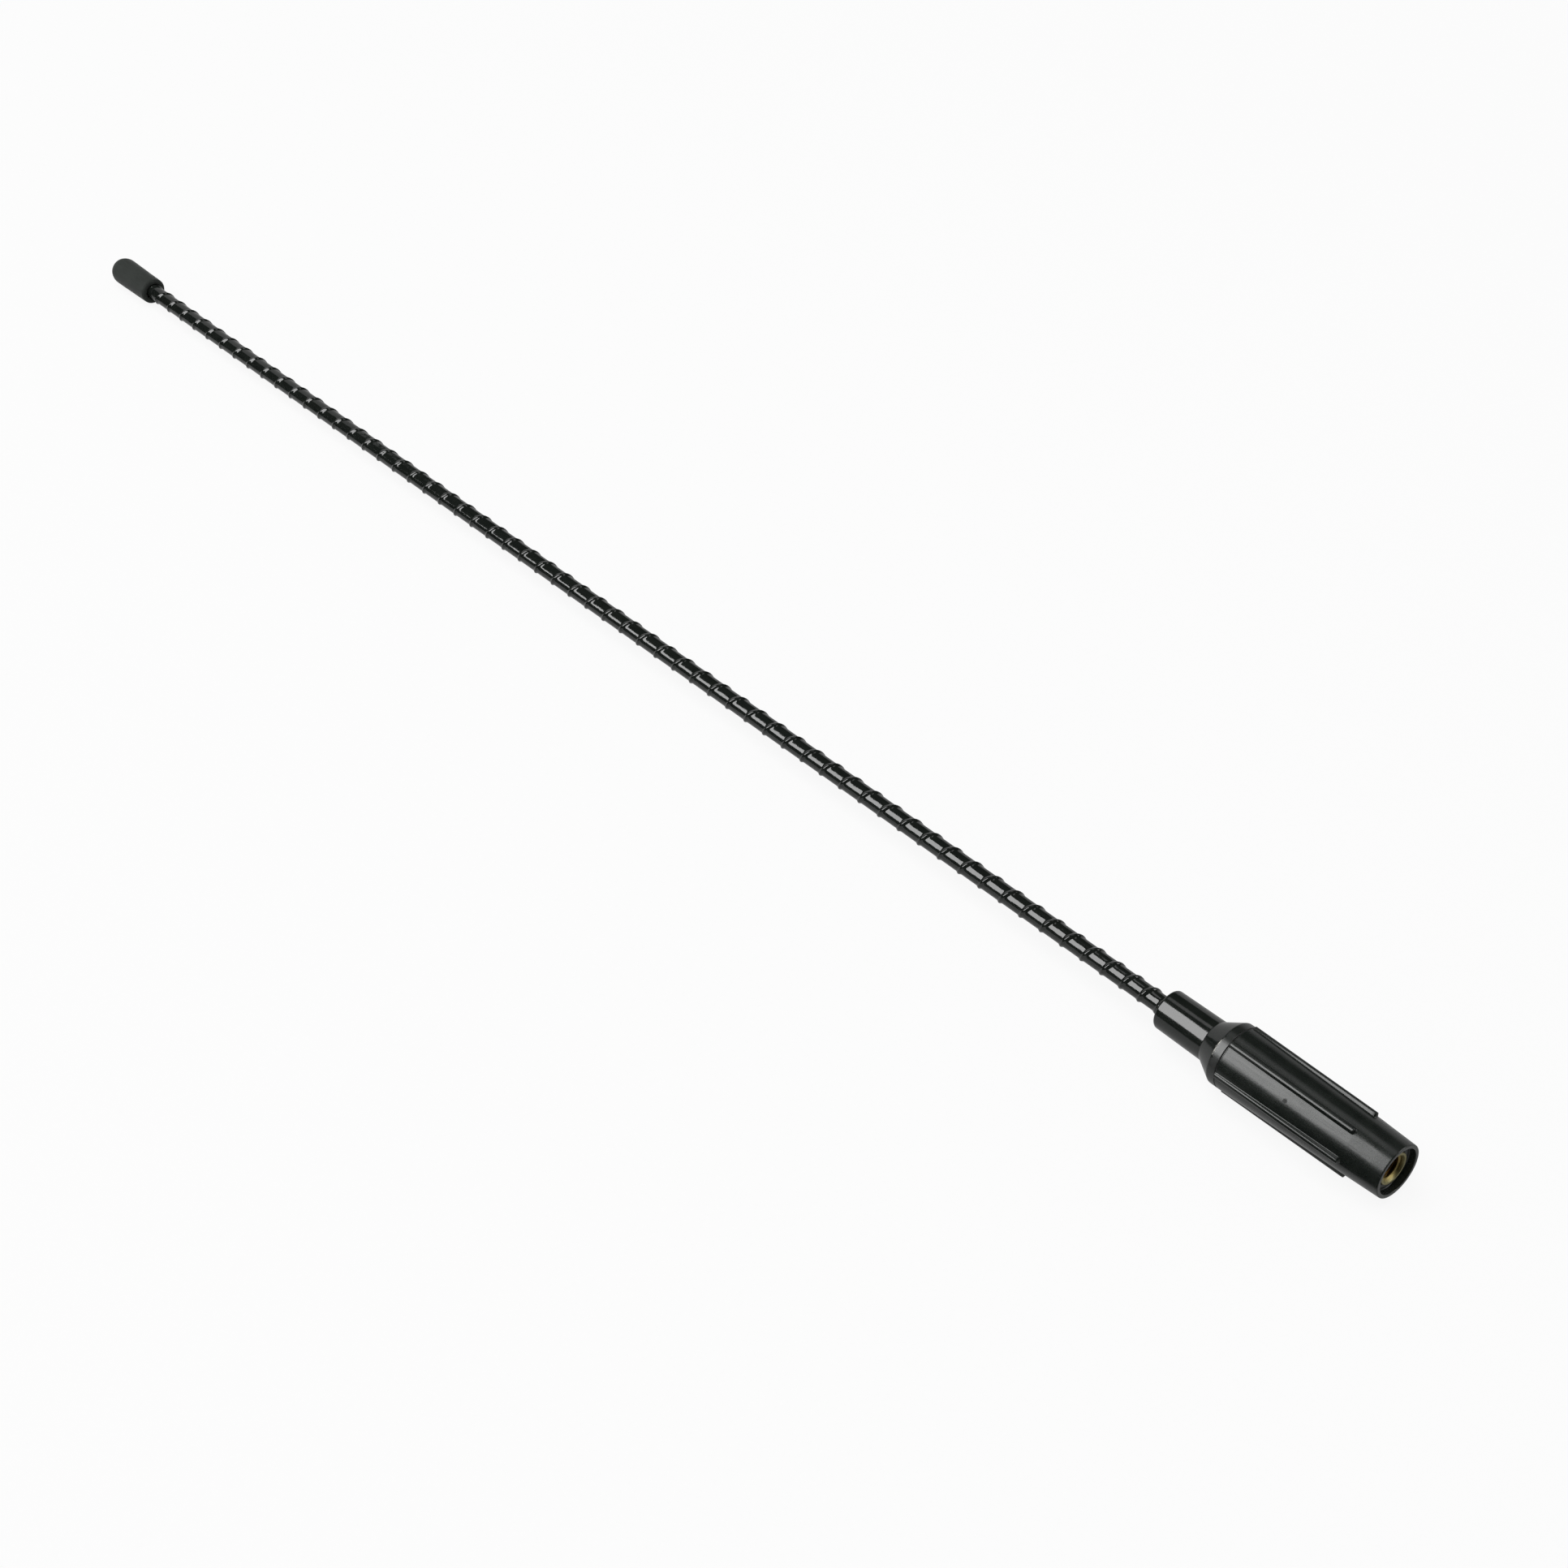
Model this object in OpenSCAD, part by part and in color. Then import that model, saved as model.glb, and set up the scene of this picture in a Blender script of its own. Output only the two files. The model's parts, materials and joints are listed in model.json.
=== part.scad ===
// Rod aerial for a car roof or wing, screwed onto a threaded stud.
// A glass-fibre rod carries a wound wire under a shrunk jacket. Its foot sits in a brass ferrule
// that is housed in a moulded collar and a ribbed sleeve, and a rubber cap closes the tip.
// Every piece is drawn standing on the foot, then laid down the way the aerial comes to rest,
// on the rim of its base and on its cap, with the tip towards -X.

/* [Whip] */
// Length of the whole aerial from the sleeve's mouth to the tip
total_length = 406; // [250:1:600]
// Diameter of the glass-fibre rod
rod_d = 2.8; // [2.2:0.1:3.4]
// Wall of the shrunk jacket between the turns of wire
jacket_wall = 0.35; // [0.3:0.01:0.5]
// Skin of the jacket where it is stretched over the wire
jacket_skin = 0.15; // [0.1:0.01:0.3]
// Foot of the jacket above the ferrule
jacket_lift = 1.9; // [1.2:0.1:3]

/* [Winding] */
// Diameter of the wound wire
wire_d = 0.35; // [0.2:0.01:0.5]
// Height of the first turn above the ferrule
winding_lift = 0.4; // [0.3:0.05:1]
// Spacing of the turns low on the mast
pitch_low = 5.27; // [4:0.01:7]
// Spacing of the turns high on the mast
pitch_high = 6.25; // [4:0.01:8]
// How much closer the turns lie at the foot
foot_closing = 3.2; // [0:0.1:3.4]
// Number of turns over which the foot's spacing opens
foot_closing_turns = 3.2; // [1:0.1:4]
// How much closer the turns lie at the tip
tip_closing = 2.4; // [0:0.1:3.4]
// Number of turns over which the tip's spacing closes
tip_closing_turns = 1.9; // [1:0.1:4]
// Angle round the mast at which the wire starts
winding_start_angle = 7.4; // [-180:0.1:180]
// How far the winding reaches into the cap
winding_overlap = 3.5; // [1:0.5:6]

/* [Tip cap] */
// Length of the cap
cap_length = 17; // [12:0.5:30]
// Diameter of the cap at its rounded end
cap_tip_d = 6.65; // [5.5:0.05:9]
// Diameter of the cap at its lower edge
cap_mouth_d = 6.3; // [5.5:0.05:9]
// Radius of the cap's rounded lower edge
cap_lip_round = 0.7; // [0.3:0.05:1]
// Rubber left beyond the end of the rod
cap_end_wall = 4.5; // [2:0.1:6]

/* [Collar and cone] */
// Length of the collar round the foot of the mast
collar_length = 10.8; // [6:0.1:20]
// Diameter of the collar at its upper rim
collar_rim_d = 7.7; // [7:0.05:9]
// Diameter of the collar where it meets the cone
collar_root_d = 7.95; // [7:0.05:9.5]
// Radius of the collar's rounded upper rim
collar_rim_round = 0.7; // [0.2:0.05:1]
// Length of the cone
cone_length = 3.7; // [2:0.1:8]
// Diameter of the base at the band and at the sleeve's upper end
base_d = 12.2; // [11:0.1:16]
// Length of the plain band under the cone
band_length = 1.75; // [1:0.05:4]
// Diameter of the spigot that the sleeve is pushed onto
spigot_d = 8.8; // [8:0.1:9.4]

/* [Ribbed sleeve] */
// Length of the sleeve
sleeve_length = 34.4; // [25:0.1:60]
// Length of the plain end below the ribs
plain_length = 7.6; // [4:0.1:12]
// Diameter of the sleeve where the ribs end
waist_d = 11.05; // [10.6:0.05:11.8]
// Diameter of the sleeve at its lower end
mouth_d = 10.45; // [10.2:0.05:11]
// Thickness of the rim round the mouth
rim_wall = 0.75; // [0.5:0.05:1]
// Depth of the recess in the mouth
recess_depth = 1.4; // [1:0.1:4]
// Thickness of the web that holds the ferrule
web_thickness = 4.6; // [2:0.1:8]
// Radius of the rim's rounded edge
rim_round = 0.2; // [0.05:0.05:0.3]

/* [Ribs] */
// Number of ribs
rib_count = 6; // [3:1:8]
// Angle of the first rib from the top of the resting aerial
rib_angle = 33; // [0:1:60]
// Width of a rib at its flat top
rib_top_w = 0.8; // [0.4:0.05:2]
// Width of a rib at its root
rib_root_w = 1.3; // [0.8:0.05:3]
// Height of a rib at its upper end
rib_rise_upper = 0.42; // [0.2:0.01:1]
// Height of a rib at its lower end
rib_rise_lower = 0.78; // [0.3:0.01:1.5]

/* [Ferrule] */
// Diameter of the ferrule's barrel
barrel_d = 6.3; // [6:0.05:7]
// Diameter of the ferrule's neck inside the collar
neck_d = 5.2; // [4.6:0.05:5.6]
// Length of the neck inside the collar
neck_length = 10.2; // [6:0.1:16]
// Depth of the rod's socket in the ferrule
socket_depth = 14; // [6:0.5:20]
// Distance from the sleeve's mouth to the ferrule's face
face_set_back = 0.85; // [0.1:0.05:1]
// Diameter of the stud's tapped hole at the thread's crests
tapped_d = 4.2; // [3:0.05:4.6]
// Depth of the full thread
tapped_depth = 12; // [6:0.5:20]
// Width of the countersink at the hole's mouth
countersink_d = 5.4; // [4.8:0.05:5.9]

/* [Solder] */
// Height of the solder bead on the ferrule
solder_h = 0.65; // [0.3:0.05:1]
// Arc of the rod that the solder bead covers, in degrees
solder_arc = 70; // [30:5:180]

/* [Fits] */
// Radial clearance of a round piece in its seat
slip = 0.02; // [0.01:0.005:0.05]

/* [Hidden] */
$fn = 72;

// Columns of facets round the jacket and the wire
COLUMNS = 10;

// Heights along the mast, from the sleeve's mouth upwards
seam_z = sleeve_length;
cone_z = seam_z + band_length;
collar_z = cone_z + cone_length;
collar_top_z = collar_z + collar_length;
neck_top_z = seam_z + neck_length;
rod_foot_z = neck_top_z - socket_depth;
cap_z = total_length - cap_length;
rod_top_z = total_length - cap_end_wall;
cap_ball_z = total_length - cap_tip_d / 2;
web_top_z = recess_depth + web_thickness;
jacket_foot_z = neck_top_z + jacket_lift;

// Radii of the layers round the rod. The inner ones clear the round rod at the middle of a facet.
facet_cos = cos(180 / COLUMNS);
rod_r = rod_d / 2;
seat_r = (rod_r + slip) / facet_cos;
jacket_r = rod_r + jacket_wall;
wire_top_r = seat_r + wire_d;
channel_r = wire_top_r + slip;
ridge_r = channel_r + jacket_skin;
mast_bore_r = ridge_r + slip;
channel_w = wire_d * 1.2;
ridge_w = channel_w + jacket_skin * 1.2;

// The winding: its turns open from the foot, widen slowly upwards and close again at the tip
winding_z = neck_top_z + winding_lift;
mean_pitch = (pitch_low + pitch_high) / 2;
taken_up = foot_closing * foot_closing_turns + tip_closing * tip_closing_turns;
turns = round((cap_z + winding_overlap - winding_z + taken_up) / mean_pitch);

// Height of the wire after t turns, the sum of its spacing over those turns
function winding_height(t) = winding_z + pitch_low * t
    + (pitch_high - pitch_low) * t * t / (2 * turns)
    - foot_closing * foot_closing_turns * (1 - exp(-t / foot_closing_turns))
    - tip_closing * tip_closing_turns
        * (exp((t - turns) / tip_closing_turns) - exp(-turns / tip_closing_turns));

// Angle of the wire after t turns: a left-handed winding
function winding_angle(t) = winding_start_angle - 360 * t;

// Point at radius r, angle a and height z
function around(r, a, z) = [r * cos(a), r * sin(a), z];

// Points of a round stretch of outline
function arc(c, r, from, to, steps = 6) =
    [for (i = [0:steps]) let (a = from + (to - from) * i / steps) [c[0] + r * cos(a), c[1] + r * sin(a)]];

// How the aerial lies: the base rests on its rim or its ribs and the cap on its rounded end
rib_low_angle = min([for (i = [0:rib_count - 1]) abs(180 - (rib_angle + i * 360 / rib_count) % 360)]);
rib_tip_r = base_d / 2 + rib_rise_upper;
rib_half_angle = asin(rib_top_w / 2 / rib_tip_r);
rest_r = max(base_d / 2, rib_tip_r * cos(max(0, rib_low_angle - rib_half_angle)));
rest_span = cap_ball_z - seam_z;
rest_tilt = atan2(rest_r, rest_span) - asin(cap_tip_d / 2 / norm([rest_span, rest_r]));
rest_height = rest_r * cos(rest_tilt) + seam_z * sin(rest_tilt);
rest_x = (cap_ball_z * cos(rest_tilt) + cap_tip_d / 2 - mouth_d / 2 * sin(rest_tilt)) / 2;

module at_rest() {
    translate([rest_x, 0, rest_height]) rotate([0, -90 - rest_tilt, 0]) children();
}

// Bore of radius r between two heights
module bore(r, from, to) {
    translate([0, 0, from]) cylinder(r = r, h = to - from);
}

// A closed tube whose surface follows columns of radius and height, the same number of points in each.
// Each column hands its points to the next, and after one turn they arrive skip points further up.
function column_faces(columns, points, skip, first, flip) = [
    for (c = [0:columns - 1])
        let (next = (c + 1) % columns, step = c == columns - 1 ? skip : 0)
            for (k = [0:points - 2 - step])
                for (corner = [0, 1])
                    let (
                        a = first + c * points + k,
                        b = first + next * points + k + step,
                        face = corner == 0 ? [a, b, b + 1] : [a, b + 1, a + 1]
                    ) flip ? [face[2], face[1], face[0]] : face];

// Triangles that close the start and the end of the ridge where the last column meets the first
function wedge_faces(columns, points, skip, first, flip) = [
    for (k = [0:skip - 1])
        for (top = [0, 1])
            let (
                low = [first + (columns - 1) * points, first + k, first + k + 1],
                high_at = first + (columns - 1) * points + points - 1 - skip + k,
                high = [high_at, first + points - 1, high_at + 1],
                face = top == 0 ? low : high
            ) flip ? [face[2], face[1], face[0]] : face];

// Heights and radii of one column: the foot, three points for each turn of the ridge, and the top
function column(c, r, peak_r, half_w, low, high) = concat(
    [around(r, winding_angle(c / COLUMNS), low)],
    [for (k = [0:turns - 1], side = [-1, 0, 1])
        let (t = k + c / COLUMNS)
            around(side == 0 ? peak_r : r, winding_angle(t), winding_height(t) + side * half_w)],
    [around(r, winding_angle(c / COLUMNS), high)]);

module jacket_tube(low, high) {
    count = 3 * turns + 2;
    outer = [for (c = [0:COLUMNS - 1]) each column(c, jacket_r, ridge_r, ridge_w, low, high)];
    inner = [for (c = [0:COLUMNS - 1]) each column(c, seat_r, channel_r, channel_w, low, high)];
    n = len(outer);
    ends = [for (c = [0:COLUMNS - 1])
        let (a = c * count, b = (c + 1) % COLUMNS * count)
            each [[a, a + n, b + n, b], [a + count - 1, b + count - 1, b + n + count - 1, a + n + count - 1]]];
    polyhedron(
        points = concat(outer, inner),
        faces = concat(
            column_faces(COLUMNS, count, 3, 0, false),
            wedge_faces(COLUMNS, count, 3, 0, false),
            column_faces(COLUMNS, count, 3, n, true),
            wedge_faces(COLUMNS, count, 3, n, true),
            ends),
        convexity = 10);
}

// Heat-shrunk jacket: the ridge outside and the channel inside both follow the wire
module mast_jacket() {
    run_out = 1.5;
    color([0.11, 0.12, 0.115])
        intersection() {
            jacket_tube(winding_z - run_out, rod_top_z);
            translate([0, 0, jacket_foot_z]) cylinder(r = base_d, h = rod_top_z - jacket_foot_z);
        }
}

// Wound wire, of diamond section, lying on the rod
module winding_wire() {
    last = COLUMNS * turns - 1;
    mid_r = seat_r + wire_d / 2;
    points = [for (j = [0:last], q = [0:3])
        let (t = j / COLUMNS, a = winding_angle(t), z = winding_height(t))
            q == 0 ? around(seat_r, a, z)
                : q == 1 ? around(mid_r, a, z + wire_d / 2)
                : q == 2 ? around(wire_top_r, a, z)
                : around(mid_r, a, z - wire_d / 2)];
    sides = [for (j = [0:last - 1], q = [0:3])
        let (a = 4 * j + q, b = 4 * j + (q + 1) % 4)
            each [[a, b, b + 4], [a, b + 4, a + 4]]];
    color([0.72, 0.43, 0.2])
        polyhedron(
            points = points,
            faces = concat([[3, 2, 1, 0]], sides, [[for (q = [0:3]) 4 * last + q]]),
            convexity = 10);
}

module mast_rod() {
    color([0.85, 0.83, 0.72])
        translate([0, 0, rod_foot_z]) cylinder(r = rod_r, h = rod_top_z - rod_foot_z);
}

// Rubber cap, blind, slightly wider at its rounded end
module tip_cap() {
    mouth_r = cap_mouth_d / 2;
    lip = [mouth_r - cap_lip_round, cap_z + cap_lip_round];
    color([0.24, 0.255, 0.24])
        difference() {
            union() {
                rotate_extrude()
                    polygon(concat([[0, cap_z]], arc(lip, cap_lip_round, -90, 0),
                        [[cap_tip_d / 2, cap_ball_z], [0, cap_ball_z]]));
                translate([0, 0, cap_ball_z]) sphere(r = cap_tip_d / 2);
            }
            bore(mast_bore_r, cap_z - 1, rod_top_z);
        }
}

// Collar, cone and band in one moulding, with the spigot that goes down into the sleeve
module base_collar() {
    rim = [collar_rim_d / 2 - collar_rim_round, collar_top_z - collar_rim_round];
    color([0.13, 0.14, 0.135])
        difference() {
            rotate_extrude()
                polygon(concat(
                    [[0, web_top_z], [spigot_d / 2, web_top_z], [spigot_d / 2, seam_z],
                        [base_d / 2, seam_z], [base_d / 2, cone_z], [collar_root_d / 2, collar_z]],
                    arc(rim, collar_rim_round, 0, 90),
                    [[0, collar_top_z]]));
            bore(barrel_d / 2 + slip, web_top_z - 1, seam_z);
            bore(neck_d / 2 + slip, seam_z - 1, neck_top_z);
            bore(mast_bore_r, neck_top_z - 1, collar_top_z + 1);
        }
}

// One rib standing on the sleeve, along X, cut to height by the ribs' common envelope
module rib() {
    root_r = mouth_d / 2 - rim_wall / 2;
    tip_r = base_d / 2 + max(rib_rise_upper, rib_rise_lower);
    slope = (rib_root_w - rib_top_w) / 2 / max(rib_rise_upper, rib_rise_lower);
    root_w = rib_top_w + 2 * slope * (tip_r - root_r);
    translate([0, 0, plain_length])
        linear_extrude(sleeve_length - plain_length)
            polygon([[root_r, -root_w / 2], [tip_r, -rib_top_w / 2], [tip_r, rib_top_w / 2], [root_r, root_w / 2]]);
}

// Sleeve with its ribs, drafted towards the mouth
module ribbed_sleeve() {
    rim = [mouth_d / 2 - rim_round, rim_round];
    color([0.12, 0.13, 0.125])
        difference() {
            union() {
                rotate_extrude()
                    polygon(concat([[0, 0]], arc(rim, rim_round, -90, 0),
                        [[waist_d / 2, plain_length], [base_d / 2, sleeve_length], [0, sleeve_length]]));
                intersection() {
                    rotate_extrude()
                        polygon([[0, plain_length], [waist_d / 2 + rib_rise_lower, plain_length],
                            [rib_tip_r, sleeve_length], [0, sleeve_length]]);
                    for (i = [0:rib_count - 1]) rotate([0, 0, rib_angle + i * 360 / rib_count]) rib();
                }
            }
            bore(mouth_d / 2 - rim_wall, -1, recess_depth);
            bore(barrel_d / 2 + slip, recess_depth - 1, web_top_z + 1);
            bore(spigot_d / 2 + slip, web_top_z, sleeve_length + 1);
        }
}

// Turned brass ferrule: tapped for the stud below, bored for the rod above
module foot_ferrule() {
    hole_top_z = face_set_back + tapped_depth;
    sink_h = (countersink_d - tapped_d) / 2;
    color([0.78, 0.62, 0.3])
        difference() {
            union() {
                bore(barrel_d / 2, face_set_back, seam_z);
                bore(neck_d / 2, seam_z, neck_top_z);
            }
            bore(tapped_d / 2, face_set_back - 1, hole_top_z);
            translate([0, 0, hole_top_z]) cylinder(r1 = tapped_d / 2, r2 = 0, h = tapped_d / 2);
            translate([0, 0, face_set_back])
                cylinder(r1 = countersink_d / 2, r2 = tapped_d / 2, h = sink_h);
            bore(rod_r + slip, rod_foot_z, neck_top_z + 1);
        }
}

// Solder bead on the ferrule, ending flat against the start of the wire
module solder_joint() {
    root_r = rod_r + slip;
    reach = neck_d / 2 - root_r;
    color([0.7, 0.71, 0.72])
        translate([0, 0, neck_top_z])
            rotate([0, 0, winding_start_angle])
                rotate_extrude(angle = solder_arc)
                    polygon([[root_r, 0], [root_r + reach * 0.45, 0], [root_r + reach * 0.35, solder_h * 0.75],
                        [root_r + reach * 0.12, solder_h], [root_r, solder_h]]);
}

at_rest() tip_cap();
at_rest() mast_jacket();
at_rest() winding_wire();
at_rest() mast_rod();
at_rest() solder_joint();
at_rest() foot_ferrule();
at_rest() base_collar();
at_rest() ribbed_sleeve();
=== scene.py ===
# %% [markdown]
# A car mast aerial lies on a white table: a long thin mast with a wire wound under its skin, a rubber cap on
# its tip and a ribbed black base with a brass thread in its mouth.
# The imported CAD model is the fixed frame. Everything below is made round it, in metres, and stays where it
# is.

# %% Load the frame
import json
import math

import bmesh
import bpy
import numpy as np
from mathutils import Euler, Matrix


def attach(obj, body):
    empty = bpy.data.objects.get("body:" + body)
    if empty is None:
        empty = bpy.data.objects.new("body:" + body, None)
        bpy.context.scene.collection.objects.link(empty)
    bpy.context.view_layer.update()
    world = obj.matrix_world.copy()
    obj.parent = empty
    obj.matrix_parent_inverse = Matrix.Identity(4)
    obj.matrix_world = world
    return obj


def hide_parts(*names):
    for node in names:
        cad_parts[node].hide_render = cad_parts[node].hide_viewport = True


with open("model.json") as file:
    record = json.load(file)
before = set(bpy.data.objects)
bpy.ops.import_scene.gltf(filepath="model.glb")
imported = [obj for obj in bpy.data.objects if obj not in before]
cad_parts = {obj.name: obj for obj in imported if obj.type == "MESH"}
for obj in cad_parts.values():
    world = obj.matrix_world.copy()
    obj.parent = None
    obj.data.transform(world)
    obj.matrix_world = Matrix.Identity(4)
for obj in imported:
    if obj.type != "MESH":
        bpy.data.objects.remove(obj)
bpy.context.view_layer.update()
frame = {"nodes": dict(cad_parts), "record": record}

# %% [markdown]
# The photograph looks down on the aerial from beside its base. A camera fitted to the mast gives its place,
# its bearing and its lens. The sensor is 36 mm wide, and the photograph is square.

# %% Camera
camera_place = (0.364287, -0.271948, 0.334568)
camera_azimuth = math.radians(49.0488)
camera_elevation = math.radians(39.4245)
camera_data = bpy.data.cameras.new("camera")
camera_data.sensor_width = 36
camera_data.lens = 62.29
camera_data.clip_start = 0.01
camera = bpy.data.objects.new("camera", camera_data)
camera.location = camera_place
camera.rotation_euler = Euler((math.pi / 2 - camera_elevation, 0, camera_azimuth))
bpy.context.scene.collection.objects.link(camera)
bpy.context.scene.camera = camera
print("camera looks down", round(math.degrees(camera_elevation), 1), "degrees")

# %% [markdown]
# The aerial is round, so its pieces are easiest to draw in its own frame: a distance from the mast's axis, an
# angle round it and a height up the mast from the mouth of the base, all in millimetres and degrees. The
# aerial lies on its side and falls a little towards the tip. The threaded hole's mount gives that axis, so
# the pieces land where the CAD model has them.

# %% The mast's own frame
MM = 0.001
hole_middle = 7.15  # how far the mount's place lies in from the mouth
mount = frame["record"]["mounts"][0]
axis = np.array(mount["axis"])
side = np.array([0.0, 1.0, 0.0])
up = np.cross(axis, side)
mouth = np.array(mount["pos_m"]) + axis * hole_middle * MM


def place(radius, angle, height):
    """Points of the scene, in metres, from places in the mast's own frame.

    mouth - height * axis + radius * (cos(angle) * up + sin(angle) * side), with height and radius in mm."""
    turn = np.radians(angle)
    radius, turn, height = np.broadcast_arrays(radius, turn, height)
    out = radius[..., None] * (np.cos(turn)[..., None] * up + np.sin(turn)[..., None] * side)
    return mouth + (out - height[..., None] * axis) * MM


def own_frame(points):
    """The same points measured from the mouth, in mm: (up, side, height up the mast)."""
    away = (points - mouth) / MM
    return np.stack([away @ up, away @ side, -(away @ axis)], -1)


print("the mast falls", round(math.degrees(math.asin(axis[2])), 3), "degrees towards its tip")

# %% [markdown]
# Each piece is one closed surface. A helper puts its points and faces into a mesh, turns the faces outwards
# where the enclosed volume comes out negative, and merges the points that meet on the axis. It also keeps
# each point's place in the mast's own frame as an attribute, which the materials read as their coordinates.

# %% From points to a piece
WELD = 2e-7


def enclosed_volume(points, faces):
    """Signed volume: a sixth of the sum of a . (b x c) over the triangles that fan out in each face."""
    corners = points[faces] - points.mean(0)
    a, b, c, d = (corners[:, k] for k in range(4))
    return (np.einsum("ij,ij->i", a, np.cross(b, c)) + np.einsum("ij,ij->i", a, np.cross(c, d))).sum() / 6


def make_piece(name, points, quads, fans=()):
    """Mesh object from points (n, 3), quads (m, 4) and a few faces with more corners."""
    flat = points.reshape(-1, 3)
    if enclosed_volume(flat, quads) < 0:
        quads = quads[:, ::-1]
        fans = [fan[::-1] for fan in fans]
    mesh = bpy.data.meshes.new(name)
    mesh.from_pydata(flat.tolist(), [], quads.tolist() + [list(map(int, fan)) for fan in fans])
    solid = bmesh.new()
    solid.from_mesh(mesh)
    bmesh.ops.remove_doubles(solid, verts=solid.verts, dist=WELD)
    solid.to_mesh(mesh)
    solid.free()
    mesh.polygons.foreach_set("use_smooth", np.ones(len(mesh.polygons), bool))
    welded = np.empty(len(mesh.vertices) * 3)
    mesh.vertices.foreach_get("co", welded)
    own = mesh.attributes.new("own_mm", "FLOAT_VECTOR", "POINT")
    own.data.foreach_set("vector", own_frame(welded.reshape(-1, 3)).ravel())
    piece = bpy.data.objects.new(name, mesh)
    bpy.context.scene.collection.objects.link(piece)
    print(name, "has", len(mesh.vertices), "points and", len(mesh.polygons), "faces")
    return piece


def grid_quads(rows, columns, close_rows=True):
    """Faces that join point (i, j) of a grid to its neighbours. Columns run round the axis and close."""
    i = np.arange(rows if close_rows else rows - 1)[:, None]
    j = np.arange(columns)[None, :]
    next_i, next_j = (i + 1) % rows, (j + 1) % columns
    corners = (i * columns + j, i * columns + next_j, next_i * columns + next_j, next_i * columns + j)
    return np.stack(np.broadcast_arrays(*corners), -1).reshape(-1, 4)


# %% [markdown]
# Turned and moulded pieces start from an outline of a few corners. Real edges are never sharp: each corner
# gets a small radius, which catches a thin line of light. A support point on either side of it keeps the flat
# stretches flat under smooth shading.

# %% Outlines with rounded corners
ARC_STEPS = 5
SUPPORT = 1.4


def rounded(corners):
    """Outline points (radius, height) from corners (radius, height, edge radius).

    An edge of radius r is a quadratic curve between the points r before and r after the corner:
    (1 - t)^2 * before + 2 t (1 - t) * corner + t^2 * after, with support points at SUPPORT * r."""
    points = []
    for index, (x, z, r) in enumerate(corners):
        here = np.array([x, z])
        if r == 0:
            points.append(here[None])
            continue
        back = np.array(corners[index - 1][:2]) - here
        ahead = np.array(corners[(index + 1) % len(corners)][:2]) - here
        back, ahead = back / np.hypot(*back), ahead / np.hypot(*ahead)
        t = np.linspace(0, 1, ARC_STEPS)[:, None]
        curve = (1 - t) ** 2 * (here + r * back) + 2 * t * (1 - t) * here + t**2 * (here + r * ahead)
        points += [(here + SUPPORT * r * back)[None], curve, (here + SUPPORT * r * ahead)[None]]
    return np.concatenate(points)


def lathe(name, outline, angles):
    """Closed surface of revolution: each outline point (radius, height) carried round the given angles."""
    points = place(outline[:, 0][:, None], angles[None, :], outline[:, 1][:, None])
    return make_piece(name, points, grid_quads(len(outline), len(angles)))


print("an edge has", ARC_STEPS, "points and two more to support it")

# %% [markdown]
# The mast: a wire is wound round a glass-fibre rod, and a thin tube shrunk over both. The wire shows as one
# left-handed ridge. Its turns lie close together at the collar, open up, widen slowly towards the tip and
# close again under the cap. A list of measured spacings would do, but one smooth law says the same in eight
# values, and it gives the wire's height at any part of a turn.

# %% The winding
winding_z, turns, start_angle = 45.0, 63, 7.4
pitch_low, pitch_high = 5.27, 6.25
foot_closing, foot_turns = 3.2, 3.2
tip_closing, tip_turns = 2.4, 1.9


def winding_height(t):
    """Height up the mast in mm: a pitch that grows evenly with t, less what each end takes up.

    z0 + low t + (high - low) t^2 / (2 T) - a b (1 - e^(-t/b)) - c d (e^((t-T)/d) - e^(-T/d))"""
    growth = pitch_low * t + (pitch_high - pitch_low) * t * t / (2 * turns)
    foot = foot_closing * foot_turns * (1 - np.exp(-t / foot_turns))
    tip = tip_closing * tip_turns * (np.exp((t - turns) / tip_turns) - math.exp(-turns / tip_turns))
    return winding_z + growth - foot - tip


def winding_angle(t):
    """Angle in degrees after t turns: it runs backwards, so the winding is left-handed."""
    return start_angle - 360 * t


print("the wire ends", round(float(winding_height(turns)), 1), "mm up the mast")

# %% [markdown]
# The skin could be a plain tube with a bump map, but the ridge shows in the silhouette, so it is real
# surface. A straight grid would cut across the ridge in steps. Here the grid itself is wound: its rows run
# along the wire, close together on the ridge and wide apart between, and each turn's last row meets the next
# turn's first.

# %% Points of a wound surface
jacket_foot, jacket_top = 46.5, 401.5
first_turn, wound_turns, columns = 1.25, 61, 48
run_out = 0.3


def ridge_shape(distance, half_width):
    """A raised cosine across the ridge: (1 + cos(pi d / w)) / 2 within w, and 0 beyond it."""
    return 0.5 * (1 + np.cos(np.pi * np.clip(distance / half_width, -1, 1)))


def wound_points(radius, lift, half_width, rows):
    """Points of a tube with a ridge: radius + lift * ridge_shape(distance to the wire).

    Point (k, s) lies k / columns turns up the winding and rows[s] - 1/2 of a pitch across it. The ridge
    rises and falls over run_out turns at its ends. A plain ring ends the tube at its foot and at its top."""
    t = first_turn + np.arange(columns * wound_turns + 1)[:, None] / columns
    height = winding_height(t + rows[None, :] - 0.5)
    from_foot, from_top = t - first_turn, first_turn + wound_turns - t
    fade = np.clip(from_foot / run_out, 0, 1) * np.clip(from_top / run_out, 0, 1)
    out = radius + lift * fade * ridge_shape(height - winding_height(t), half_width)
    wound = place(out, winding_angle(t), height).reshape(-1, 3)
    foot, top = (place(radius, winding_angle(t[:columns, 0]), z) for z in (jacket_foot, jacket_top))
    return np.concatenate([wound, foot, top])


print("the wound grid has", wound_turns * columns, "steps along the wire")

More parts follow.
